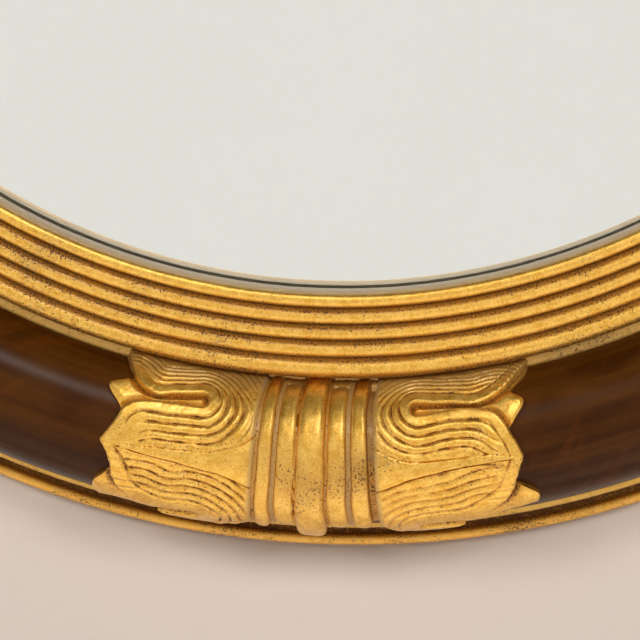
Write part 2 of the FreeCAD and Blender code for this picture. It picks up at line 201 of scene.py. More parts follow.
class Nodes:
    def __init__(self, tree):
        self.tree = tree
        tree.nodes.clear()

    def node(self, kind, settings, sockets, out=0):
        made = self.tree.nodes.new(kind)
        for key, value in settings.items():
            setattr(made, key, value)
        for key, value in sockets.items():
            join(self.tree, made.inputs[key], value)
        return Wire(self.tree, made.outputs[out])

    def objectPlace(self):
        return self.node("ShaderNodeTexCoord", {}, {}, "Object")

    def attribute(self, name, out="Fac"):
        return self.node("ShaderNodeAttribute", {"attribute_name": name}, {}, out)

    def ray(self, kind):                    # 1 on rays of this kind, else 0
        return self.node("ShaderNodeLightPath", {}, {}, "Is %s Ray" % kind)

    def stretched(self, place, scale, turn=(0.0, 0.0, 0.0)):
        return self.node("ShaderNodeMapping", {}, {"Vector": place, "Scale": scale, "Rotation": turn})

    def noise(self, place, scale, detail=3.0, rough=0.5, distortion=0.0):
        sockets = {"Vector": place, "Scale": scale, "Detail": detail, "Roughness": rough, "Distortion": distortion}
        return self.node("ShaderNodeTexNoise", {}, sockets, "Fac")

    def eased(self, value, low, high):
        sockets = {"Value": value, "From Min": low, "From Max": high}
        return self.node("ShaderNodeMapRange", {"interpolation_type": "SMOOTHSTEP"}, sockets, "Result")

    def mixed(self, factor, first, second):
        return self.node("ShaderNodeMix", {"data_type": "RGBA"}, {0: factor, 6: first, 7: second}, 2)

    def mixedShader(self, factor, first, second):
        return self.node("ShaderNodeMixShader", {}, {0: factor, 1: first, 2: second})

    def surface(self, sockets, relief=None, depth=0.0001, strength=1.0):
        if relief is not None:
            bump = {"Height": relief, "Distance": depth, "Strength": strength}
            sockets = {**sockets, "Normal": self.node("ShaderNodeBump", {}, bump, "Normal")}
        shader = self.node("ShaderNodeBsdfPrincipled", {}, sockets, "BSDF")
        self.output(shader)

    def output(self, shader, kind="ShaderNodeOutputMaterial"):
        made = self.tree.nodes.new(kind)
        join(self.tree, made.inputs["Surface"], shader)


def newFinish(name):
    material = bpy.data.materials.new(name)
    material.use_nodes = True
    return material, Nodes(material.node_tree)


# Gilding: burnished leaf over red bole, rubbed on the crests, with dirt, dust and painted shade in the hollows
giltLook = {
    "bright": (0.94, 0.57, 0.110), "deep": (0.74, 0.37, 0.032), "boleAndShade": (0.45, 0.185, 0.018),
    "dirtAndShade": (0.165, 0.055, 0.006), "dust": (0.43, 0.30, 0.165), "speck": (0.130, 0.055, 0.016),
    "dull": (0.42, 0.265, 0.105), "bare": (0.84, 0.71, 0.53),
}


def giltFinish(name, look):
    material, nodes = newFinish(name)
    place = nodes.objectPlace()
    shadeAndDirt = nodes.attribute("shadeAndDirt")
    dull = nodes.attribute("dull")
    bare = nodes.attribute("bare")
    cloud = nodes.noise(place, 34.0, 4.0)
    mottle = nodes.noise(place, 190.0, 5.0, 0.6)
    grainy = nodes.noise(place, 900.0, 3.0, 0.6)
    stipple = nodes.eased(nodes.noise(place, 1400.0, 2.0), 0.52, 0.70)
    pits = nodes.noise(place, 1050.0, 2.0)
    rubbed = nodes.eased(nodes.noise(place, 420.0, 4.0, 0.65) + (cloud - 0.5) * 0.35, 0.58, 0.74)
    patchy = (mottle - 0.5) * 0.5 + (cloud - 0.5) * 0.3
    # painted shade: the recess amount pulls hollows toward bole red and dirt brown, on top of real rubbing, specks
    # and dirt
    boleAndShadeMask = nodes.eased(shadeAndDirt + patchy + dull * 0.12, 0.22, 0.90) * 0.75
    dirtAndShadeMask = nodes.eased(shadeAndDirt + patchy * 0.7 + (pits - 0.5) * 1.3, 0.76, 1.08) * 0.9
    dustMask = nodes.eased((cloud - 0.5) * 1.7 + (grainy - 0.5) * 0.9 - shadeAndDirt * 0.2, 0.16, 0.58) * 0.42
    speckMask = nodes.eased(pits + shadeAndDirt * 0.13 + (cloud - 0.5) * 0.42, 0.67, 0.74) * 0.75
    colour = nodes.mixed(nodes.eased(mottle * 0.55 + grainy * 0.45, 0.36, 0.62), look["deep"], look["bright"])
    colour = nodes.mixed(dull * (0.10 + grainy * 0.7 + mottle * 0.7), colour, look["dull"])
    colour = nodes.mixed(boleAndShadeMask.most(stipple * (0.34 + shadeAndDirt * 0.4)).most(rubbed * 0.42), colour, look["boleAndShade"])
    colour = nodes.mixed(dustMask, colour, look["dust"])
    colour = nodes.mixed(dirtAndShadeMask, colour, look["dirtAndShade"])
    colour = nodes.mixed(speckMask, colour, look["speck"])
    colour = nodes.mixed(bare, colour, look["bare"])
    covered = dirtAndShadeMask.most(speckMask).most(dustMask).most(bare)
    nodes.surface({
        "Base Color": colour,
        "Metallic": (1.0 - covered) * (1.0 - dull * 0.45),
        "Coat Weight": (1.0 - covered) * 0.55, "Coat Roughness": 0.28,
        "Roughness": 0.41 + covered * 0.28 + dull * 0.16 + (mottle - 0.5) * 0.24 + shadeAndDirt * 0.26,
    }, mottle * 0.55 + grainy * 0.35 - speckMask * 0.5, 0.00036, 0.65)
    return material


# Mahogany: dark, figured across the grain, wax polished
mahoganyLook = {
    "dark": (0.046, 0.012, 0.0006), "middle": (0.092, 0.029, 0.0030),
    "light": (0.135, 0.048, 0.0070), "flare": (0.150, 0.036, 0.0026),
}


def mahoganyFinish(name, look):
    material, nodes = newFinish(name)
    grain = nodes.attribute("grain", "Vector")
    streaks = nodes.noise(nodes.stretched(grain, (5.0, 130.0, 5.0)), 1.0, 5.0, 0.6)
    figure = nodes.noise(nodes.stretched(grain, (16.0, 30.0, 1.0), (0.0, 0.0, 0.75)), 1.0, 3.0, 0.5, 0.8)
    flame = nodes.noise(nodes.stretched(grain, (7.0, 9.0, 1.0), (0.0, 0.0, 0.5)), 1.0, 2.0)
    slanted = nodes.stretched(grain, (1.0, 1.0, 1.0), (0.0, 0.0, -0.7))
    flare = nodes.noise(nodes.stretched(slanted, (70.0, 13.0, 1.0)), 1.0, 4.0, 0.55, 1.1)
    pores = nodes.noise(nodes.stretched(grain, (90.0, 1500.0, 90.0)), 1.0, 2.0)
    tone = nodes.eased(streaks * 0.62 + figure * 0.38, 0.36, 0.64)
    colour = nodes.mixed(tone, look["dark"], look["middle"])
    colour = nodes.mixed(nodes.eased(flame * 0.6 + figure * 0.4, 0.52, 0.74) * 0.5, colour, look["light"])
    colour = nodes.mixed(nodes.eased(flare, 0.50, 0.74) * 0.42, colour, look["flare"])
    colour = nodes.mixed(nodes.eased(pores, 0.62, 0.75) * 0.5, colour, look["dark"])
    nodes.surface({
        "Base Color": colour,
        "Roughness": 0.25 + (streaks - 0.5) * 0.10 + (flame - 0.5) * 0.08,
        "Specular IOR Level": 0.10,
    }, pores * 0.5 + streaks * 0.5, 0.00006, 0.4)
    return material


# Bare woods of the back
pineLook = {"early": (0.60, 0.42, 0.22), "late": (0.40, 0.22, 0.085), "grime": (0.16, 0.10, 0.055)}
plyLook = {"early": (0.50, 0.36, 0.20), "late": (0.36, 0.235, 0.115), "grime": (0.13, 0.085, 0.05)}
beechLook = {"early": (0.60, 0.42, 0.26), "late": (0.48, 0.31, 0.17), "grime": (0.22, 0.14, 0.08)}


def bareWoodFinish(name, look, turn):       # grain runs along X, turned about Y
    material, nodes = newFinish(name)
    place = nodes.stretched(nodes.objectPlace(), (1.0, 1.0, 1.0), (0.0, turn, 0.0))
    bend = nodes.noise(place, 4.0, 2.0)
    rings = nodes.noise(nodes.stretched(place, (2.2, 60.0, 75.0)), 1.0, 3.0, 0.55, 0.5)
    fibres = nodes.noise(nodes.stretched(place, (22.0, 700.0, 700.0)), 1.0, 3.0)
    grime = nodes.noise(place, 9.0, 5.0, 0.6)
    sawn = nodes.noise(nodes.stretched(place, (420.0, 12.0, 18.0)), 1.0, 2.0)
    tone = nodes.eased(rings * 0.75 + bend * 0.25, 0.42, 0.60)
    colour = nodes.mixed(tone, look["early"], look["late"])
    colour = nodes.mixed((fibres - 0.35) * 0.6, colour, look["late"])
    colour = nodes.mixed(nodes.eased(grime, 0.48, 0.78) * 0.65, colour, look["grime"])
    nodes.surface({
        "Base Color": colour,
        "Roughness": 0.72 + (fibres - 0.5) * 0.2,
        "Specular IOR Level": 0.3,
    }, fibres * 0.5 + sawn * 0.3 + rings * 0.2, 0.00025, 0.6)
    return material


# Metals of the back: old brass and zinc-plated steel
brassLook = {"clean": (0.66, 0.47, 0.17), "tarnish": (0.24, 0.145, 0.05), "rough": 0.34}
zincLook = {"clean": (0.58, 0.58, 0.57), "tarnish": (0.25, 0.235, 0.21), "rough": 0.38}


def metalFinish(name, look):
    material, nodes = newFinish(name)
    place = nodes.objectPlace()
    spangle = nodes.noise(place, 260.0, 3.0)
    stains = nodes.noise(place, 85.0, 5.0, 0.65)
    scratches = nodes.noise(nodes.stretched(place, (1900.0, 300.0, 260.0), (0.3, 0.2, 0.5)), 1.0, 2.0)
    tarnish = nodes.eased(stains, 0.42, 0.75)
    colour = nodes.mixed(tarnish * 0.8 + (spangle - 0.5) * 0.3, look["clean"], look["tarnish"])
    nodes.surface({
        "Base Color": colour,
        "Metallic": 1.0 - tarnish * 0.25,
        "Roughness": look["rough"] + tarnish * 0.25 + (scratches - 0.5) * 0.2,
    }, scratches * 0.5 + stains * 0.5, 0.00005, 0.5)
    return material


# Glass and the silver behind it
silverLook = {"clean": (0.945, 0.945, 0.925), "aged": (0.62, 0.58, 0.50)}
glassLook = {"clear": (0.985, 0.99, 0.985), "smeared": (0.975, 0.985, 0.978)}


def silverFinish(name, look):
    material, nodes = newFinish(name)
    place = nodes.objectPlace()
    edge = nodes.attribute("edge")
    foxing = nodes.noise(place, 120.0, 5.0, 0.65)
    haze = nodes.noise(place, 7.0, 2.0)
    spots = nodes.eased(foxing + edge * 0.28, 0.74, 0.86)
    nodes.surface({
        "Base Color": nodes.mixed(spots * 0.7, look["clean"], look["aged"]),
        "Metallic": 1.0,
        "Roughness": 0.012 + haze * 0.02 + spots * 0.2,
    })
    return material


def glassFinish(name, look):
    material, nodes = newFinish(name)
    smears = nodes.noise(nodes.objectPlace(), 14.0, 4.0, 0.6)
    nodes.surface({
        "Base Color": nodes.mixed(smears, look["clear"], look["smeared"]),
        "Roughness": nodes.eased(smears, 0.50, 0.85) * 0.015,
        "Transmission Weight": 1.0, "IOR": 1.5,
    })
    return material


gilt = giltFinish("gilt", giltLook)
mahogany = mahoganyFinish("mahogany", mahoganyLook)
brass = metalFinish("brass", brassLook)
zinc = metalFinish("zinc", zincLook)
print("finishes made")


# Gilt rings: reeded slip, two fillets and the outer rim
slipShape = {
    "sight": 323.4, "lip": 40.78, "bevel": 1.6, "valley": 50.0, "reeds": (7.1, 7.7, 7.35, 7.95, 9.4), "rise": 3.1,
    "seat": 32.0, "bore": 331.3, "bevelPoints": 7, "reedPoints": 13, "steps": 720, "wobble": 0.10,
    "shadePast": (1.0, 4.7), "shadeShort": 0.2, "brink": 2.1, "lastBrink": 4.6, "lastCrest": 4,
    "gildedFrom": (44.5, 48.5),
}
filletShapes = {
    "inner_fillet": {"dull": 0.48, "outline": (
        (364.6, 33), (364.6, 41.4), (365.0, 42.0), (366.0, 42.1), (367.2, 42.1), (368.4, 42.1),
        (369.4, 42.0), (369.9, 41.6), (369.5, 40.3), (368.2, 36), (367.9, 33))},
    "outer_fillet": {"dull": 0.25, "outline": (
        (432.7, 15.1), (438.9, 15.1), (439.3, 15.5), (439.3, 21.2), (438.8, 21.9), (437.4, 22.0),
        (436.0, 22.0), (434.5, 22.0), (434.0, 21.7), (433.5, 20.3), (432.7, 20.0))},
}
filletWobble = 0.06
rimShape = {
    "inner": 432.6, "innerHeights": (14.9, 7.5, 0.05), "foot": ((439.0, 0.0), (446.0, 0.0)),
    "bead": (446.87, 7.4), "beadRadius": 3.0, "beadTurns": (178, -42), "beadPoints": 19,
    "cove": ((444.3, 8.6), (443.2, 8.0), (441.8, 8.0), (440.4, 9.0), (439.3, 11.2), (438.57, 14.8)),
    "coveShade": 1.10, "beadShade": 0.58, "footShade": 0.8, "wobble": 0.08,
}
ringSteps = 480


def ringWobble(piece, amount):              # the slight waver of hand-scraped gesso
    points = places(piece)
    r, height, turn = polar(points)
    waver = np.sin(5 * turn + 1) * 0.5 + np.sin(13 * turn + 2 + r * 0.13) * 0.3 + np.sin(37 * turn + r * 0.4) * 0.25
    sway = np.sin(4 * turn + 0.6) * 0.5 + np.sin(11 * turn + 4 - r * 0.2) * 0.3 + np.sin(29 * turn + r * 0.7) * 0.25
    newR = (r + amount * waver) * mm
    newHeight = (height + amount * sway * (height > 1.0)) * mm
    movePoints(piece, np.column_stack((newR * np.sin(turn), -newHeight, -newR * np.cos(turn))))


def giveWearAndShade(piece, shadeAndDirt, dull, bare):    # what the gilding reads
    for name, values in (("shadeAndDirt", shadeAndDirt), ("dull", dull), ("bare", bare)):
        giveAttribute(piece, name, values)


def finishRing(piece, node, shadeAndDirt, dull, bare):
    giveWearAndShade(piece, shadeAndDirt, dull, bare)
    smooth(piece)
    clothe(piece, gilt)
    settle(piece, "frame", "gilded_wood", node)


def reededSlip(shape):
    first = shape["sight"] + shape["bevel"]
    outline = []
    for share in np.linspace(0, 1, shape["bevelPoints"])[:-1]:
        height = shape["lip"] + share * (shape["valley"] - shape["lip"])
        outline.append((shape["sight"] + share * shape["bevel"], height))
    valleys = [first]
    for width in shape["reeds"]:
        half = width / 2
        radius = (half ** 2 + shape["rise"] ** 2) / (2 * shape["rise"])
        reach = math.degrees(math.asin(half / radius))
        centre = (valleys[-1] + half, shape["valley"] + shape["rise"] - radius)
        stretch = roundStretch(centre, radius, -reach, reach, shape["reedPoints"])
        outline += stretch if len(valleys) == 1 else stretch[1:]
        valleys.append(valleys[-1] + width)
    outer = valleys[-1]
    outline += [(outer, 46.0), (outer, 42.0), (outer, shape["seat"])]
    outline += [(shape["bore"], shape["seat"]), (shape["bore"], shape["lip"])]
    piece = turnedPiece("reeded_slip_gilt", outline, shape["steps"])
    r, height = polar(places(piece))[:2]
    fromValley = r[:, None] - np.array(valleys[1:])
    past = np.min(np.where(fromValley > -0.01, fromValley, 99), axis=1)
    short = np.min(np.where(fromValley < 0.01, -fromValley, 99), axis=1)
    brink = np.where(r > valleys[-2] + shape["lastCrest"], shape["lastBrink"], shape["brink"])
    # painted shade on the reeds: darker over the flank just past each valley and just before the next, and on the
    # slip's outer side
    shadePast = 0.92 * (1 - ease(past, *shape["shadePast"]))
    shadeShort = 0.90 * (1 - ease(short, shape["shadeShort"], brink))
    onReeds = (height > shape["valley"] - 0.5) & (r > first - 0.1)
    onOuterSide = (r > outer - 0.2) & (height < shape["valley"])
    shadeAndDirt = np.where(onOuterSide, 0.75, np.where(onReeds, np.maximum(shadePast, shadeShort), 0.12))
    onBevel = (r < first - 0.1) & (height < shape["valley"] - 0.3)
    underLip = (height < shape["lip"] + 0.1) & (r > shape["sight"] + 1) & (r < outer - 1)
    bareBevel = 0.92 - 0.55 * ease(height, *shape["gildedFrom"])
    bareEdge = 0.35 * (1 - ease(r, first + 0.1, first + 1.3)) * onReeds
    bare = np.where(onBevel, bareBevel, bareEdge) + np.where(underLip, 1.0, 0.0)
    ringWobble(piece, shape["wobble"])
    finishRing(piece, "reeded_slip", shadeAndDirt, np.zeros(len(r)), bare)


def filletRing(node, shape):
    piece = turnedPiece(node + "_gilt", shape["outline"], ringSteps)
    r, height = polar(places(piece))[:2]
    top = height > max(point[1] for point in shape["outline"]) - 0.6
    edge = np.minimum(r - r.min(), r.max() - r)
    # painted shade: the fillet's sides and the edges of its top are darker
    shadeAndDirt = np.where(top, 0.30 - 0.2 * ease(edge, 0.3, 1.5), 0.8)
    ringWobble(piece, filletWobble)
    finishRing(piece, node, shadeAndDirt, np.full(len(r), shape["dull"]), np.zeros(len(r)))


def outerRim(shape):
    bead = roundStretch(shape["bead"], shape["beadRadius"], *shape["beadTurns"], shape["beadPoints"])
    innerFace = [(shape["inner"], height) for height in shape["innerHeights"]]
    piece = turnedPiece("outer_rim_gilt", [*bead, *shape["cove"], *innerFace, *shape["foot"]], ringSteps)
    r, height = polar(places(piece))[:2]
    inCove = (height > 7.0) & (r < 444.6)
    atFoot = (height < 6.0) & (r > 440)
    # painted shadow, darkest in the cove; the foot and the bead darker with painted shade and dirt
    shadeAndDirt = np.where(atFoot, shape["footShade"], np.where(inCove, shape["coveShade"], shape["beadShade"]))
    bare = np.where((height < 0.5) | (r < shape["inner"] + 0.3), 1.0, 0.0)
    ringWobble(piece, shape["wobble"])
    finishRing(piece, "outer_rim", shadeAndDirt, np.zeros(len(r)), bare)


reededSlip(slipShape)
for node, shape in filletShapes.items():
    filletRing(node, shape)
outerRim(rimShape)
print("gilt rings turned")


# Mahogany roll in four quarters
rollDetail = {"joint": 0.05, "points": 57, "steps": 160, "grainSteps": (1.7, 0.9)}


def rollQuarters(shape, detail):
    drop = shape["seat"] - shape["height"]
    reach = 180 - math.degrees(math.acos(-drop / shape["radius"]))
    centre = (shape["centre"], shape["height"])
    outline = roundStretch(centre, shape["radius"], -reach, reach, detail["points"])
    run = math.sqrt(shape["radius"] ** 2 - drop ** 2)
    outline += [(shape["centre"] + run * share, shape["seat"]) for share in (0.5, 0.0, -0.5)]
    sweep = fullTurn / 4 - 2 * detail["joint"] / shape["centre"]
    quarter = turnedPiece("mahogany_quarter", outline, detail["steps"], sweep)
    r, height, turn = polar(places(quarter))
    middle = places(quarter).mean(axis=0)
    first = math.atan2(middle[0], -middle[2])
    along = ((turn - first + math.pi) % fullTurn - math.pi) * shape["centre"] * mm
    around = np.arctan2(r - shape["centre"], height - shape["height"]) * shape["radius"] * mm
    for number in range(1, 5):
        node = "roll_segment_%d" % number
        low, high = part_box(node)
        target = math.atan2(low.x + high.x, -low.z - high.z)
        piece = copyTurned(quarter, "mahogany_roll_%d" % number, first - target)
        runStep, deepStep = detail["grainSteps"]        # each quarter is cut from another board
        grain = np.column_stack((along + number * runStep, around, np.full(len(r), number * deepStep)))
        giveAttribute(piece, "grain", grain)
        smooth(piece)
        clothe(piece, mahogany)
        settle(piece, "frame", "mahogany", node)
    bpy.data.objects.remove(quarter)


rollQuarters(rollShape, rollDetail)
print("mahogany roll turned")


# Carved clasps, wrapped over the roll: along it from the clasp's middle, round it from the clasp's own middle line
claspShape = {"tilt": 8.0, "wrapRadius": 38.5, "wrap": 48.8, "wrapTop": 53.4, "foot": 0.06, "underColumns": 6}
collarShape = {
    "from": -25.88, "to": 30.28, "bands": ((-24.0, -17.5), (-15.2, -6.8), (-6.2, 7.1), (8.3, 16.8), (19.2, 27.0)),
    "floor": 4.0, "rises": (1.6, 1.2, 2.9, 1.3, 1.7), "ends": (-40.0, -36.0, -48.0, -37.5, -37.5), "endRound": 5.5,
    "tops": (53.4, 49.5, 53.4, 48.0, 53.4), "topRounds": (3.5, 8.0, 4.0, 9.0, 3.5),
    "gapFloors": (3.7, 4.7, 4.2, 3.6, 1.3), "gapDust": (0.85, 0.15, 0.2, 0.9), "lastGapDust": 0.8,
    "firstFloor": 3.5, "firstDust": 0.45, "thin": 0.35, "crust": 3.4, "crustFrom": (44, 49), "dusty": 0.6,
    "darkerMiddleAt": -2, "darkerMiddleWidth": 16, "steps": (170, 170),
}
leafShape = {
    "steps": (250, 230), "main": 4.9, "slitFloor": 1.2, "petal": 3.2, "wedge": 5.3, "lowBand": 0.7, "unevenness": 0.3,
    "grooves": (5.7, 10.1, 14.4, 18.5, 22.6, 26.6), "grooveDepth": 0.95, "grooveWidth": 0.44, "strandWidth": 4.4,
    "strandRise": 0.46, "wedgeCutDepth": 0.75, "wedgeCutWidth": 0.45, "crowding": 0.62, "softness": 160,
}
rightLeaf = {                               # lines of (along the roll, round it), and ends of (round it, along)
    "root": 30.3, "rootLean": 1.0, "fadeFrom": 87, "edgeFade": 120, "wedgeEnd": 94, "wornLow": 0.88, "seed": 0.0,
    "bottom": ((30, 31), (33, 37), (37, 43), (42, 48.5), (54, 48.5), (62, 46.5), (72, 40), (82, 33), (90, 31),
               (96, 33), (104, 34)),
    "wedgeUpper": ((30, 12), (38, 7.5), (50, 4), (80, 4), (94, 0.5)),
    "wedgeLower": ((30, 10), (48, 4), (66, 1), (94, 0)),
    "high": {
        "eye": (52, 30, 3.6), "past": ((120, 2), (98, 13)),
        "centre": ((98, 0), (94, 14), (87, 24), (72, 28), (52, 26.5)),
        "side": ((52, 33.5), (67, 31), (82, 29), (95, 35), (106, 47), (109, 54)),
        "ends": ((0, 98), (8, 96), (14, 94), (18, 97), (27, 103), (34, 98), (44, 106), (54, 109)),
    },
    "low": {
        "eye": (51, 38, 3), "past": ((120, 20), (86, 28)),
        "centre": ((98, 0), (92, 14), (83, 26), (70, 33), (51, 35)),
        "side": ((51, 41), (64, 43), (80, 50)),
        "ends": ((0, 98), (8, 94), (14, 92), (18, 96), (26, 101), (38, 96), (50, 91)),
    },
}
leftLeaf = {
    "root": 25.9, "rootLean": -1.0, "fadeFrom": 79, "edgeFade": 86, "wedgeEnd": 87, "wornLow": 1.1, "seed": 2.4,
    "bottom": ((25, 34), (30, 39), (36, 44), (43, 48.5), (54, 48.5), (63, 46), (73, 41), (82, 38.5), (88, 39.5),
               (93, 43), (104, 44)),
    "wedgeUpper": ((26, 15), (34, 10), (47, 5.5), (65, 3.5), (87, 0.5)),
    "wedgeLower": ((26, 10), (36, 6.5), (50, 3.5), (87, 1)),
    "high": {
        "eye": (54, 30, 3.5), "past": ((120, 2), (98, 13)),
        "centre": ((97, 0), (93, 10), (90, 18), (80, 24), (54, 26.5)),
        "side": ((54, 33.5), (67, 30), (77, 28), (87, 33), (93, 43), (97, 54)),
        "ends": ((0, 97), (8, 94), (17, 91), (28, 100), (35, 90), (42, 93), (54, 98)),
    },
    "low": {
        "eye": (52, 36, 3.4), "past": ((120, 25), (84, 31)),
        "centre": ((97, 0), (91, 9), (87, 21), (77, 31), (64, 34.5), (52, 32.5)),
        "side": ((52, 39.5), (64, 43), (76, 50)),
        "ends": ((0, 97), (6, 92), (15, 90), (27, 96), (38, 95), (50, 90)),
    },
}


def wrapPoint(along, side, thickness):
    lean = side / claspShape["wrapRadius"] - math.radians(claspShape["tilt"])
    rho = rollShape["radius"] + thickness
    r = rollShape["centre"] - rho * np.sin(lean)
    height = rollShape["height"] + rho * np.cos(lean)
    turn = along / rollShape["centre"]
    return np.column_stack((r * np.sin(turn), -height, -r * np.cos(turn))) * mm


def rootShift(side):                        # the clasp leans a little, over its top and under its foot
    return 2.2 * ease(side, 28, 51) + 0.6 * ease(-side, 8, 42)


def curveThrough(points, steps=8):          # a smooth line through a few points
    p = np.array(points, float)
    p = np.vstack((2 * p[0] - p[1], p, 2 * p[-1] - p[-2]))
    line = []
    for a, b, c, d in zip(p, p[1:], p[2:], p[3:]):
        for t in np.arange(steps) / steps:
            line.append(0.5 * (2 * b + (c - a) * t + (2 * a - 5 * b + 4 * c - d) * t ** 2
                               + (3 * b - 3 * c + d - a) * t ** 3))
    line.append(p[-2])
    return np.array(line)


def distanceTo(points, line):
    best = np.full(len(points), 1e9)
    for a, b in zip(line, line[1:]):
        span = b - a
        t = np.clip(((points - a) @ span) / (span @ span), 0, 1)
        best = np.minimum(best, np.hypot(*(points - a - t[:, None] * span).T))
    return best


def inside(points, line):                   # even crossings are outside
    crossings = np.zeros(len(points), int)
    for a, b in zip(line, np.roll(line, -1, axis=0)):
        if a[1] == b[1]:
            continue
        spans = (points[:, 1] >= min(a[1], b[1])) & (points[:, 1] < max(a[1], b[1]))
        reach = a[0] + (points[:, 1] - a[1]) / (b[1] - a[1]) * (b[0] - a[0])
        crossings += spans & (reach > points[:, 0])
    return crossings % 2 == 1


def wrappedShell(name, steps, along, side, thickness, shadeAndDirt, dull):
    across, up = steps
    rows = up + 1
    edge = np.zeros((across + 1, rows), bool)
    edge[0] = edge[-1] = True
    edge[:, 0] = edge[:, -1] = True
    thick = np.where(edge.ravel(), claspShape["foot"], thickness)
    points = [wrapPoint(along, side, thick)]
    index = np.arange((across + 1) * rows).reshape(across + 1, rows)
    faces = []
    for i in range(across):
        for j in range(up):
            faces.append((index[i, j], index[i + 1, j], index[i + 1, j + 1], index[i, j + 1]))
    columns = np.linspace(0, across, claspShape["underColumns"] + 1).astype(int)
    under = {0: index[0], across: index[across]}
    made = index.size
    for column in columns[1:-1]:
        inner = index[column, 1:-1]
        points.append(wrapPoint(along[inner], side[inner], np.full(len(inner), claspShape["foot"])))
        ids = np.arange(made, made + len(inner))
        under[column] = np.concatenate((index[column, :1], ids, index[column, -1:]))
        made += len(inner)
    for left, right in zip(columns, columns[1:]):
        for j in range(1, up - 1):
            faces.append((under[left][j], under[left][j + 1], under[right][j + 1], under[right][j]))
        low = list(index[left:right + 1, 0])
        high = list(index[left:right + 1, -1])
        faces.append(low[::-1] + [under[left][1], under[right][1]])
        faces.append(high + [under[right][up - 1], under[left][up - 1]])
    mesh = bpy.data.meshes.new(name)
    mesh.from_pydata(np.vstack(points), [], [[int(v) for v in face] for face in faces])
    piece = addPiece(name, mesh)
    # painted shade: the clasp's upright sides and underside are darker
    full = np.full(made, 1.0)
    full[:index.size] = np.where(edge.ravel(), 0.5, shadeAndDirt)
    giveWearAndShade(piece, full, np.concatenate((dull, np.zeros(made - index.size))), np.zeros(made))
    closeUp(piece)
    smooth(piece, 50)
    clothe(piece, gilt)
    return piece


def unitGrid(steps):                        # the rim rows double up, so that the shell's sides stand upright
    u = np.concatenate(([0], np.linspace(0, 1, steps[0] - 1), [1]))
    v = np.concatenate(([0], np.linspace(0, 1, steps[1] - 1), [1]))
    grid = np.meshgrid(u, v, indexing="ij")
    return grid[0].ravel(), grid[1].ravel()


def waver(along, side, seed):               # small hand-made unevenness, in millimetres
    return (np.sin(along * 0.31 + side * 0.17 + seed) + np.sin(along * 0.13 - side * 0.29 + seed * 2.1)
            + np.sin(along * 0.77 + side * 0.53 + seed * 0.7) * 0.5) / 2.5


def wrapSide(v):                            # from the lower edge up to the inner edge
    return -claspShape["wrap"] + v * (claspShape["wrap"] + claspShape["wrapTop"])


def collarPiece(shape):
    u, v = unitGrid(shape["steps"])
    spot = shape["from"] + u * (shape["to"] - shape["from"])
    side = wrapSide(v)
    along = spot + rootShift(side)
    sway = 0.30 * np.sin(side * 0.075 + 0.5) + 0.16 * np.sin(side * 0.21 + 2)
    swayed = spot - sway * ease(27 - np.abs(spot), 0, 4)
    starts = [band[0] for band in shape["bands"]] + [shape["to"]]
    firstGroove = np.maximum(shape["firstFloor"] * ease(side, -41, -36), shape["thin"])
    thickness = np.where(swayed < starts[0], firstGroove, shape["thin"])
    dust = np.where(swayed < starts[0], shape["firstDust"], 0.0)
    crest = np.zeros(len(u))
    for band, (left, right) in enumerate(shape["bands"]):
        half = (right - left) / 2
        across = (swayed - left - half) / half
        inGap = (across > 1) & (swayed <= starts[band + 1] + 1e-6)
        gapFloor = np.maximum(shape["gapFloors"][band] * ease(side, -40, -35), shape["thin"])
        isLast = band == len(shape["gapDust"])
        gapDust = shape["lastGapDust"] * ease(side, -2, 8) if isLast else shape["gapDust"][band]
        thickness = np.where(inGap, gapFloor, thickness)
        dust = np.where(inGap, gapDust, dust)
        on = np.abs(across) < 1
        hump = np.where(on, (1 - np.minimum(np.abs(across), 1) ** 5) ** 0.7, 0)
        lowEnd = (side - shape["ends"][band] - 2.4 * across ** 2) / shape["endRound"]
        topEnd = (shape["tops"][band] - side - 1.2 * across ** 2) / shape["topRounds"][band]
        end = np.clip(np.minimum(lowEnd, topEnd), 0, 1)
        rounded = np.sqrt(1 - (1 - end) ** 2)
        body = shape["floor"] + (shape["rises"][band] + 0.3 * across) * hump
        body = body * np.where(end > 0, 0.25 + 0.75 * rounded, 0)
        thickness = np.where(on, np.maximum(thickness, body), thickness)
        crest = np.where(on, hump * rounded, crest)
        dust = np.where(on, np.maximum(dust, shape["dusty"] * (1 - ease(topEnd, 0.1, 1.4))), dust)
    crust = ease(side, *shape["crustFrom"]) * (shape["crust"] + 0.5 * waver(along * 1.9, side * 1.6, 2.0))
    dust = np.where(thickness < crust, shape["dusty"], dust)
    thickness = np.maximum(thickness, crust)
    thickness = np.maximum(thickness + 0.12 * waver(along, side, 1.3) * (thickness > 1), 0.3)
    # painted shade: darker between the bands and under their ends, lighter on the crests
    shadeAndDirt = np.clip(0.80 - ease(crest, 0.10, 0.75) - 0.5 * dust, 0.03, 1)
    shadeAndDirt = np.where(thickness < 1, 1.15, shadeAndDirt)
    # a darker, duller, slightly dustier band round the collar's middle
    darkerMiddle = np.exp(-((side - shape["darkerMiddleAt"]) / shape["darkerMiddleWidth"]) ** 2)
    darkerMiddle = darkerMiddle * (1 + 0.5 * waver(along * 0.6, side * 0.5, 3.0)) * ease(crest, 0.3, 0.8)
    dust = np.maximum(dust, 0.24 * darkerMiddle)
    shadeAndDirt = np.maximum(shadeAndDirt, 0.40 * darkerMiddle)
    return wrappedShell("clasp_collar_model", shape["steps"], along, side, thickness, shadeAndDirt, dust)


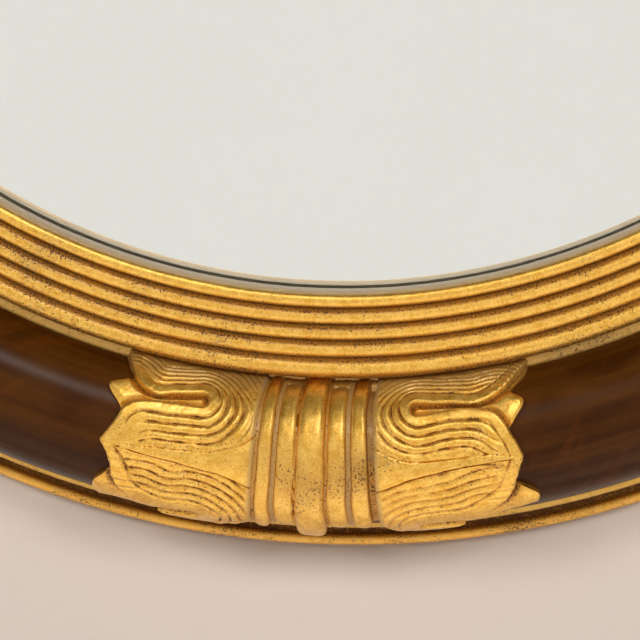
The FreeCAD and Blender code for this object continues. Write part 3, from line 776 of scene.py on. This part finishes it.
def leafHalf(half, spots):                  # distances from its carved edge and from its slit, and what lies past it
    middle, drop, radius = half["eye"]
    turns = np.radians(np.linspace(-80, 80, 13))
    eyeLine = np.column_stack((middle - radius * np.cos(turns), drop + radius * np.sin(turns)))
    margin = np.vstack((curveThrough(half["centre"]), eyeLine, curveThrough(half["side"])))
    outside = inside(spots, np.vstack((margin, [(140, 54), (140, 0)])))
    slitLine = np.vstack((half["past"], margin[margin[:, 0] < half["past"][-1][0] - 8]))
    return distanceTo(spots, margin), outside, distanceTo(spots, slitLine)


def leafSpan(own, side):                    # where the leaf starts and ends along the roll
    lines = [curveThrough(own[half]["ends"]) for half in ("high", "low")]
    last = np.where(side >= 0, *[np.interp(np.abs(side), line[:, 0], line[:, 1]) for line in lines])
    return own["root"] + own["rootLean"] * rootShift(side), last


def softened(field, steps, passes):         # rounds the corners of lines drawn from a field
    grid = field.reshape(steps[0] + 1, steps[1] + 1)
    for number in range(passes):
        wide = np.pad(grid, 1, mode="edge")
        grid = (wide[:-2, 1:-1] + wide[2:, 1:-1] + wide[1:-1, :-2] + wide[1:-1, 2:] + 4 * grid) / 8
    return grid.ravel()


def veinCuts(shape, along, side, upper, edgeGap, deep, edgeFade, fade, seed):     # how deep in a groove, 0 to 1
    band = shape["grooves"][0]
    cut = np.zeros(len(along))
    for number, level in enumerate(shape["grooves"]):
        gap = (edgeGap if number == 0 else deep) - level - 0.25 * waver(along, side, seed + number)
        broken = 0.78 + 0.40 * waver(along * 2.1 + number * 5, side * 2.1, seed + number)
        wide = shape["grooveWidth"] * (0.75 + 0.4 * broken) * np.where(upper, 1.0, 1.25)
        deeper = np.exp(-(gap / wide) ** 2) * np.clip(broken, 0.35, 1)
        deeper = deeper * (edgeFade if number == 0 else fade * ease(edgeGap, band - 0.2, band + 0.6))
        cut = np.maximum(cut, deeper * ((level < 20) | (np.abs(side) > 31) | ~upper))
    return cut


def leafPiece(shape, own, name):
    seed = own["seed"]
    u, v = unitGrid(shape["steps"])
    side = wrapSide(v)
    upper = side >= 0
    first, last = leafSpan(own, side)
    limit = np.interp(first + u * (last - first), *curveThrough(own["bottom"]).T)
    side = np.where(upper, side, side * limit / claspShape["wrap"])
    away = np.abs(side)
    first, last = leafSpan(own, side)
    along = first + u * (last - first)
    uneven = shape["unevenness"]
    spots = np.column_stack((along + uneven * waver(along, side, seed), away + uneven * waver(side, along, seed + 1)))

    # Distances that the carving follows
    halves = zip(leafHalf(own["high"], spots), leafHalf(own["low"], spots))
    fromMargin, outside, deep = [np.where(upper, high, low) for high, low in halves]
    signed = np.where(outside, -fromMargin, fromMargin)
    band = shape["grooves"][0]
    widen = 1 + np.where(upper, 0, shape["lowBand"] * ease(92 - along, 0, 20))
    gaps = (fromMargin, deep)
    edgeGap, deep = [np.where(gap < band * widen, gap / widen, band + gap - band * widen) for gap in gaps]
    deep = deep + shape["crowding"] * np.maximum(deep - band, 0) * ease(side, 29, 42)
    deep = softened(deep, shape["steps"], shape["softness"])
    wedgeLines = [curveThrough(own["wedgeUpper"]), curveThrough(own["wedgeLower"])]
    fromWedge = np.where(upper, distanceTo(spots, wedgeLines[0]), distanceTo(spots, wedgeLines[1]))
    reach = [np.interp(spots[:, 0], line[:, 0], line[:, 1], right=0) for line in wedgeLines]
    inWedge = (spots[:, 1] < np.where(upper, reach[0], reach[1])) & (along < own["wedgeEnd"])
    fromRoot = np.maximum(along - first, 0.01)
    fromTop = np.where(upper, claspShape["wrapTop"] - side, np.maximum(limit + side, 0))

    # Veins, worn and fading towards the tip
    ragged = 2.5 * waver(side * 2, along, seed + 4)
    fade = 1 - ease(along + ragged, own["fadeFrom"] - 4, own["fadeFrom"] + 4) * upper * (away < 29)
    edgeFade = np.where(upper, 1 - ease(along + ragged, own["edgeFade"] - 3, own["edgeFade"] + 3), 1)
    worn = np.where(upper, 1.0, own["wornLow"]) * (0.85 + 0.15 * waver(along * 1.7, side * 1.7, seed + 3))
    worn = worn * ease(fromRoot, 1.2, 3.0) * ease(fromTop, 0.5, 2.5)
    cut = veinCuts(shape, along, side, upper, edgeGap, deep, edgeFade, fade, seed)
    cut = np.where(inWedge | outside, 0, cut * worn)
    wedgeCut = np.exp(-(fromWedge / shape["wedgeCutWidth"]) ** 2)
    wedgeCut = wedgeCut * ease(own["wedgeEnd"] - along, 0, 5) * np.where(upper, 0.6, 1.0)

    # Thickness: rounded strands, the raised wedge, and the lower petals past the carved edge
    strand = np.where(deep > band, np.sin(math.pi * (deep - band) / shape["strandWidth"]) ** 2, 0.6)
    main = shape["main"] + shape["strandRise"] * (strand - 0.5) * worn * fade - shape["grooveDepth"] * cut
    main = np.where(inWedge, shape["wedge"] - 0.005 * spots[:, 1] ** 2, main) - shape["wedgeCutDepth"] * wedgeCut
    floor = shape["slitFloor"] + (shape["petal"] - shape["slitFloor"]) * ease(fromMargin, 0.4, 4.0)
    floor = floor + 0.6 * ease(along, 78, 96) * ease(last - along, 0, 6)
    step = ease(signed, -0.40, 0.30)
    thickness = floor + (main - floor) * step - 0.45 * np.exp(-(np.maximum(signed, 0) / 0.7) ** 2) * step
    rim = np.minimum(np.minimum(last - along, fromRoot), np.maximum(fromTop, 0.01))
    thickness = thickness - 0.55 * np.exp(-(rim / 0.8) ** 2) + 0.09 * waver(along * 2.3, side * 2.3, seed + 5)
    thickness = np.maximum(thickness, 0.5)

    # Painted shade and dirt in the cuts, painted shade in the slit and along the carved edge, pits in the gilding,
    # and dullness
    slit = (1 - step) * (1 - ease(fromMargin, np.where(upper, 0.5, 1.0), np.where(upper, 2.4, 6.0)))
    slit = np.maximum(slit, 0.45 * np.exp(-(signed / 0.5) ** 2))
    shadeAndDirt = np.maximum(np.maximum(cut * np.where(upper, 1.55, 1.15), wedgeCut * 0.9), slit)
    pitted = np.where(upper, 0.36 * ease(deep, 14, 19), 0.30 * ease(deep, 6, 12)) * ~inWedge * ~outside
    pitted = pitted * fade * (0.6 + 0.4 * waver(along * 3, side * 3, seed + 6))
    shadeAndDirt = np.clip(np.maximum(shadeAndDirt, pitted), 0.03, 1.2)
    dull = 0.75 * np.exp(-(fromRoot / 1.8) ** 2) + 0.62 * ease(side, 33, 47)
    return wrappedShell(name, shape["steps"], along, side, thickness, shadeAndDirt, dull)


def mirrored(source, name):
    piece = addPiece(name, source.data.copy())
    points = places(piece)
    points[:, 0] *= -1
    movePoints(piece, points)
    closeUp(piece)
    return piece


def carveClasps():
    collar = collarPiece(collarShape)
    leafA = leafPiece(leafShape, rightLeaf, "clasp_leaf_model_a")
    rawB = leafPiece(leafShape, leftLeaf, "clasp_leaf_model_raw")
    leafB = mirrored(rawB, "clasp_leaf_model_b")
    for number, side in enumerate(("bottom", "left", "top", "right")):
        angle = number * fullTurn / 4
        for source, part in ((collar, "collar"), (leafA, "leaf_a"), (leafB, "leaf_b")):
            node = "clasp_%s_%s" % (side, part)
            piece = copyTurned(source, node + "_carved", angle)
            settle(piece, "frame", "gilded_wood", node)
    for model in (collar, leafA, rawB, leafB):
        bpy.data.objects.remove(model)


carveClasps()
print("clasps carved")


# Convex glass and its silver
glassShape = {"radius": 329.4, "rise": 27.0, "edge": 39.5, "thick": 4.0, "silver": (4.05, 4.45), "agedEdge": 9,
              "rings": 90, "steps": 288}


def dome(name, shape, top, bottom):
    ball = (shape["radius"] ** 2 + shape["rise"] ** 2) / (2 * shape["rise"])
    middle = shape["edge"] + shape["rise"] - ball
    reach = np.linspace(0, shape["radius"], shape["rings"])
    front = [(r, middle + math.sqrt((ball - top) ** 2 - r ** 2)) for r in reach]
    rear = [(r, middle + math.sqrt((ball - bottom) ** 2 - r ** 2)) for r in reach[::-1]]
    piece = turnedPiece(name, front + rear, shape["steps"])
    smooth(piece, 30)
    return piece


glass = dome("convex_glass_clear", glassShape, 0.0, glassShape["thick"])
clothe(glass, glassFinish("clear_glass", glassLook))
settle(glass, "frame", "clear_glass", "convex_glass")
silver = dome("silver_coat", glassShape, *glassShape["silver"])
silverR = polar(places(silver))[0]
giveAttribute(silver, "edge", ease(silverR, glassShape["radius"] - glassShape["agedEdge"], glassShape["radius"]))
clothe(silver, silverFinish("silver", silverLook))
settle(silver, "frame", "silvering", "silvering")
print("glass and silver made")


# Back: turn buttons with rolled edges, slotted screws, and finishes for the woodwork and the hangers
jointPlaces = {joint["name"]: Vector(joint["pos_m"]) for joint in frame["joints"]}
buttonCount = 8
buttonShape = {
    "pivot": jointPlaces["turn_button_1_pivot"].x / mm, "reach": 18.0, "root": 7.0, "nose": 5.0,
    "low": 7.1, "thick": 1.6, "edge": 0.45, "corners": 64,
}
screwShape = {"radius": 3.7, "head": 2.0, "slot": (0.9, 1.0), "firstTurn": 0.3, "turnStep": 0.83}
hangerScrews = {"drops": (14.0, 36.0), "face": 7.5}         # down from the knuckle, and in from the wall


def turnButtonModel(shape):
    deselectAll()
    bpy.ops.mesh.primitive_circle_add(vertices=shape["corners"], radius=1, fill_type="NGON")
    piece = bpy.context.object
    piece.name = "turn_button_model"
    lean = math.acos((shape["root"] - shape["nose"]) / shape["reach"])
    for vertex in piece.data.vertices:
        angle = math.atan2(vertex.co.y, vertex.co.x)
        onNose = abs(abs(angle) - math.pi) < lean
        radius = shape["nose"] if onNose else shape["root"]
        r = shape["pivot"] - (shape["reach"] if onNose else 0) + radius * math.cos(angle)
        vertex.co = (r * mm, -shape["low"] * mm, radius * math.sin(angle) * mm)
    editAll()
    bpy.ops.mesh.extrude_region_move(TRANSFORM_OT_translate={"value": (0, -shape["thick"] * mm, 0)})
    bpy.ops.mesh.select_all(action="SELECT")
    bpy.ops.mesh.normals_make_consistent(inside=False)
    bpy.ops.object.mode_set(mode="OBJECT")
    rolled = piece.modifiers.new("rolled", "BEVEL")
    rolled.width = shape["edge"] * mm
    rolled.segments = 3
    rolled.limit_method = "ANGLE"
    bpy.ops.object.modifier_apply(modifier=rolled.name)
    return piece


def screwHeadModel(shape):                  # a round head with a slot, seated at the origin and facing +Y
    ball = (shape["radius"] ** 2 + shape["head"] ** 2) / (2 * shape["head"])
    deselectAll()
    bpy.ops.mesh.primitive_uv_sphere_add(segments=40, ring_count=48, radius=ball * mm)
    head = bpy.context.object
    editAll()
    bpy.ops.transform.rotate(value=math.pi / 2, orient_axis="X", center_override=(0, 0, 0))
    bpy.ops.transform.translate(value=(0, (shape["head"] - ball) * mm, 0))
    bpy.ops.mesh.bisect(plane_co=(0, 0, 0), plane_no=(0, 1, 0), clear_inner=True, use_fill=True)
    bpy.ops.object.mode_set(mode="OBJECT")
    bpy.ops.mesh.primitive_cube_add(size=1)
    slot = bpy.context.object
    wide, deep = shape["slot"]
    slot.dimensions = (wide * mm, 2 * deep * mm, 3 * shape["radius"] * mm)
    slot.location = (0, shape["head"] * mm, 0)
    pick(slot)
    bpy.ops.object.transform_apply(location=True, rotation=True, scale=True)
    pick(head)
    cut = head.modifiers.new("slot", "BOOLEAN")
    cut.object = slot
    cut.operation = "DIFFERENCE"
    bpy.ops.object.modifier_apply(modifier=cut.name)
    bpy.data.objects.remove(slot)
    closeUp(head)
    return head


def setScrews(name, node, finish, slotName, seats):
    heads = []
    for number, seat in enumerate(seats):
        head = addPiece(name, screwHead.data.copy())
        slotTurn = number * screwShape["turnStep"] + screwShape["firstTurn"]
        head.data.transform(Matrix.Translation(seat) @ Matrix.Rotation(slotTurn, 4, "Y"))
        heads.append(head)
    deselectAll()
    for head in heads:
        head.select_set(True)
    bpy.context.view_layer.objects.active = heads[0]
    bpy.ops.object.join()
    heads[0].name = name
    smooth(heads[0], 35)
    clothe(heads[0], finish)
    settle(heads[0], "frame", slotName, node)


def buttonSeats():
    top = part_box("turn_button_1")[1].y
    pivots = [jointPlaces["turn_button_%d_pivot" % number] for number in range(1, buttonCount + 1)]
    return [Vector((pivot.x, top, pivot.z)) for pivot in pivots]


def hangerSeats(drops, face):
    swings = [jointPlaces["d_ring_%s_swing" % side] for side in ("left", "right")]
    return [Vector((swing.x, -face * mm, swing.z - drop * mm)) for swing in swings for drop in drops]


buttonModel = turnButtonModel(buttonShape)
for number in range(buttonCount):
    node = "turn_button_%d" % (number + 1)
    button = copyTurned(buttonModel, node + "_brass", number * fullTurn / buttonCount)
    smooth(button, 35)
    clothe(button, brass)
    settle(button, node, "brass", node)
bpy.data.objects.remove(buttonModel)
screwHead = screwHeadModel(screwShape)
setScrews("turn_button_screw_heads", "turn_button_screws", brass, "brass", buttonSeats())
setScrews("hanger_screw_heads", "hanger_screws", zinc, "steel", hangerSeats(**hangerScrews))
bpy.data.objects.remove(screwHead)


def dressNode(node, finish):
    for holder in frame["nodes"][node].material_slots:
        holder.material = finish


for number in range(1, 9):
    node = "carcase_segment_%d" % number
    low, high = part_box(node)
    turn = math.atan2(low.x + high.x, -low.z - high.z)
    dressNode(node, bareWoodFinish("pine_%d" % number, pineLook, turn))
ply = bareWoodFinish("backboard_ply", plyLook, math.pi / 2)
beech = bareWoodFinish("beech", beechLook, 0.0)
dressNode("backboard", ply)
dressNode("glazing_blocks", bareWoodFinish("pine_blocks", pineLook, 0.6))
for node in ("carcase_splines", "roll_tongues", "clasp_dowels"):
    dressNode(node, beech)
for node in ("hanger_strap_left", "hanger_strap_right", "d_ring_left", "d_ring_right"):
    dressNode(node, zinc)
print("back dressed")


# Stage: a pale wall that shows from the front only, a pale floor, soft light and the camera
stageShape = {
    "wall": 0.0006, "floor": -1.3, "size": 9.0, "floorSize": 60.0, "wallFade": (0.85, 1.7), "floorGlow": 0.7,
    "wallColour": (0.84, 0.72, 0.63), "floorColour": (0.76, 0.74, 0.70),
}
worldLook = {
    "shown": (0.83, 0.805, 0.765), "upper": (0.68, 0.665, 0.635), "room": (0.12, 0.117, 0.113),
    "ground": (0.11, 0.104, 0.097), "ceiling": (0.05, 0.05, 0.047), "sheen": (0.92, 0.89, 0.84),
    "lowSheen": (1.38, 1.31, 1.21), "window": (0.98, 0.96, 0.93), "highSheen": (0.14, 0.135, 0.13),
}
keyLamp = {"aim": (0.0, 0.0, -0.35), "size": (0.5, 0.5), "power": 12.6, "glossy": False}
lampSetup = {
    "right_key": {**keyLamp, "place": (0.85, -1.40, 0.30)},
    "left_key": {**keyLamp, "place": (-0.85, -1.40, 0.30)},
    "sheen": {"place": (0.20, -1.48, 0.88), "aim": (0.0, 0.0, -0.35), "size": (0.70, 0.40), "power": 9.0,
              "diffuse": False},
    "rear": {"place": (0.6, 1.9, 1.3), "aim": (0.0, 0.0, 0.0), "size": (1.6, 1.6), "power": 38.0},
}
cameraSetup = {"place": (0.0897, -1.2466, -0.2333), "aim": (-0.0014, -0.0046, -0.3416), "roll": 1.83,
               "lens": 146.25, "sensor": 36.0}


def plaster(nodes, colour):
    patches = nodes.noise(nodes.objectPlace(), 30.0, 4.0)
    paler = tuple(channel * 1.04 for channel in colour)
    sockets = {"Base Color": nodes.mixed(patches, colour, paler), "Roughness": 0.85, "Specular IOR Level": 0.2}
    return nodes.node("ShaderNodeBsdfPrincipled", {}, sockets, "BSDF")


def wallFinish(name, colour, fade):         # clear from behind and to shadow rays, and thins out round the mirror
    material, nodes = newFinish(name)
    shader = plaster(nodes, colour)
    behind = nodes.node("ShaderNodeNewGeometry", {}, {}, "Backfacing")
    away = nodes.node("ShaderNodeVectorMath", {"operation": "LENGTH"}, {0: nodes.objectPlace()}, "Value")
    unseen = behind.most(nodes.ray("Shadow")).most(nodes.eased(away, *fade))
    clear = nodes.node("ShaderNodeBsdfTransparent", {}, {}, "BSDF")
    nodes.output(nodes.mixedShader(unseen, shader, clear))
    return material


def floorFinish(name, colour, glow):        # evenly pale to the camera, but keeps the shadow
    material, nodes = newFinish(name)
    shader = plaster(nodes, colour)
    pale = nodes.node("ShaderNodeEmission", {}, {"Color": colour, "Strength": 1.0}, "Emission")
    nodes.output(nodes.mixedShader(nodes.ray("Camera") * glow, shader, pale))
    return material


def addStage(shape):
    deselectAll()
    upright = (math.pi / 2, 0, 0)
    bpy.ops.mesh.primitive_plane_add(size=shape["size"], location=(0, shape["wall"], 0), rotation=upright)
    wall = bpy.context.object
    wall.name = "stage_wall"
    clothe(wall, wallFinish("stage_wall", shape["wallColour"], shape["wallFade"]))
    deselectAll()
    bpy.ops.mesh.primitive_plane_add(size=shape["floorSize"], location=(0, 0, shape["floor"]))
    floor = bpy.context.object
    floor.name = "stage_floor"
    clothe(floor, floorFinish("stage_floor", shape["floorColour"], shape["floorGlow"]))
    floor.visible_glossy = False
    floor.visible_transmission = False


def addWorld(look):
    world = bpy.data.worlds.new("studio")
    world.use_nodes = True
    nodes = Nodes(world.node_tree)
    direction = nodes.node("ShaderNodeTexCoord", {}, {}, "Generated")
    rise = nodes.node("ShaderNodeSeparateXYZ", {}, {"Vector": direction}, "Z")
    light = nodes.mixed(nodes.eased(rise, -0.62, -0.30), look["ground"], look["room"])
    light = nodes.mixed(nodes.eased(rise, 0.50, 0.82), light, look["ceiling"])
    sheen = nodes.mixed(nodes.eased(rise, -0.78, -0.35), look["lowSheen"], look["sheen"])
    sheen = nodes.mixed(nodes.eased(rise, 0.02, 0.22), sheen, look["window"])
    sheen = nodes.mixed(nodes.eased(rise, 0.36, 0.60), sheen, look["highSheen"])
    light = nodes.mixed(nodes.ray("Glossy"), light, sheen)
    shown = nodes.mixed(nodes.eased(rise, 0.0, 0.7), look["shown"], look["upper"])
    colour = nodes.mixed(nodes.ray("Camera"), light, look["shown"])
    colour = nodes.mixed(nodes.ray("Transmission"), colour, shown)
    nodes.output(nodes.node("ShaderNodeBackground", {}, {"Color": colour, "Strength": 1.0}), "ShaderNodeOutputWorld")
    bpy.context.scene.world = world


def addLamp(name, setup):
    place = Vector(setup["place"])
    deselectAll()
    bpy.ops.object.light_add(type="AREA", location=place)
    lamp = bpy.context.object
    lamp.name = name + "_lamp"
    lamp.rotation_euler = (Vector(setup["aim"]) - place).to_track_quat("-Z", "Y").to_euler()
    lamp.data.shape = "RECTANGLE"
    lamp.data.size, lamp.data.size_y = setup["size"]
    lamp.data.energy = setup["power"]
    lamp.visible_camera = False
    lamp.visible_transmission = False
    lamp.visible_glossy = setup.get("glossy", True)
    lamp.visible_diffuse = setup.get("diffuse", True)


def addCamera(setup):
    place = Vector(setup["place"])
    deselectAll()
    bpy.ops.object.camera_add(location=place)
    camera = bpy.context.object
    camera.rotation_mode = "QUATERNION"
    look = (Vector(setup["aim"]) - place).to_track_quat("-Z", "Y")
    camera.rotation_quaternion = look @ Quaternion((0, 0, 1), math.radians(setup["roll"]))
    camera.data.lens = setup["lens"]
    camera.data.sensor_width = setup["sensor"]
    bpy.context.scene.camera = camera


addStage(stageShape)
addWorld(worldLook)
for lampName, setup in lampSetup.items():
    addLamp(lampName, setup)
addCamera(cameraSetup)
bpy.context.scene.view_settings.view_transform = "Standard"
print("stage, light and camera set")
